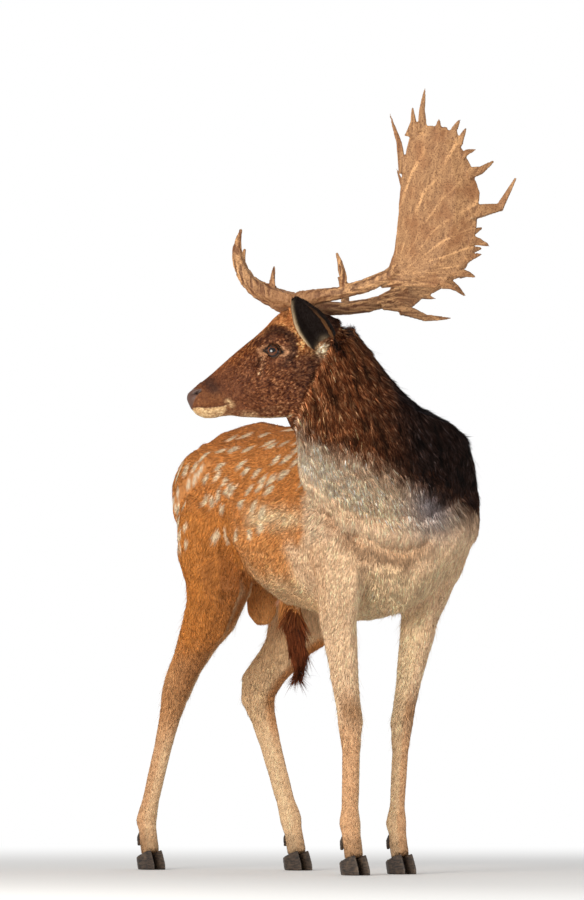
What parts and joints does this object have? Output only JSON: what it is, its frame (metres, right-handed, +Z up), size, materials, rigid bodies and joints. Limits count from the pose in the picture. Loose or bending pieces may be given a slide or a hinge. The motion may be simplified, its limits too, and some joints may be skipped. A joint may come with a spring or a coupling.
{
  "type": "fallow deer buck",
  "caption": "Standing fallow deer buck with palmate antlers, head turned over its right shoulder, as a still life-size museum model.",
  "frame": {"origin": "middle of the whole model's box, at the floor", "axes": "+Z up, -Y the way the body faces, +X the animal's left side"},
  "size_m": [0.6368, 1.2518, 1.4974],
  "materials": {
    "coat_fur": "short rufous fur with white spots, pale belly and breast",
    "head_fur": "very short dark brown fur",
    "neck_fur": "coarse grizzled dark brown fur, paler below",
    "leg_fur": "short pale tan fur with darker knees and shins",
    "ear_fur": "short brown fur, hollow face with longer pale hairs",
    "tail_fur": "long black fur above, white below",
    "pale_fur": "longer cream fur",
    "antler": "dry brown antler bone, grooved and pearled, with ivory tips",
    "hoof": "dark horn with a low sheen",
    "eye": "wet dark brown eye"
  },
  "bodies": {
    "root": {"antler_left_beam": "antler", "antler_left_brow_tine": "antler", "antler_left_palm": "antler", "antler_left_trez_tine": "antler", "antler_right_beam": "antler", "antler_right_brow_tine": "antler", "antler_right_palm": "antler", "antler_right_trez_tine": "antler", "claw_fore_left_left": "hoof", "claw_fore_left_right": "hoof", "claw_fore_right_left": "hoof", "claw_fore_right_right": "hoof", "claw_hind_left_left": "hoof", "claw_hind_left_right": "hoof", "claw_hind_right_left": "hoof", "claw_hind_right_right": "hoof", "dewclaw_fore_left_left": "hoof", "dewclaw_fore_left_right": "hoof", "dewclaw_fore_right_left": "hoof", "dewclaw_fore_right_right": "hoof", "dewclaw_hind_left_left": "hoof", "dewclaw_hind_left_right": "hoof", "dewclaw_hind_right_left": "hoof", "dewclaw_hind_right_right": "hoof", "ear_left": "ear_fur", "ear_right": "ear_fur", "eye_left": "eye", "eye_right": "eye", "foreleg_left_lower": "leg_fur", "foreleg_left_upper": "leg_fur", "foreleg_right_lower": "leg_fur", "foreleg_right_upper": "leg_fur", "head": "head_fur", "hindleg_left_lower": "leg_fur", "hindleg_left_upper": "leg_fur", "hindleg_right_lower": "leg_fur", "hindleg_right_upper": "leg_fur", "neck": "neck_fur", "scrotum": "pale_fur", "sheath": "pale_fur", "tail": "tail_fur", "trunk": "coat_fur"}
  },
  "joints": []
}
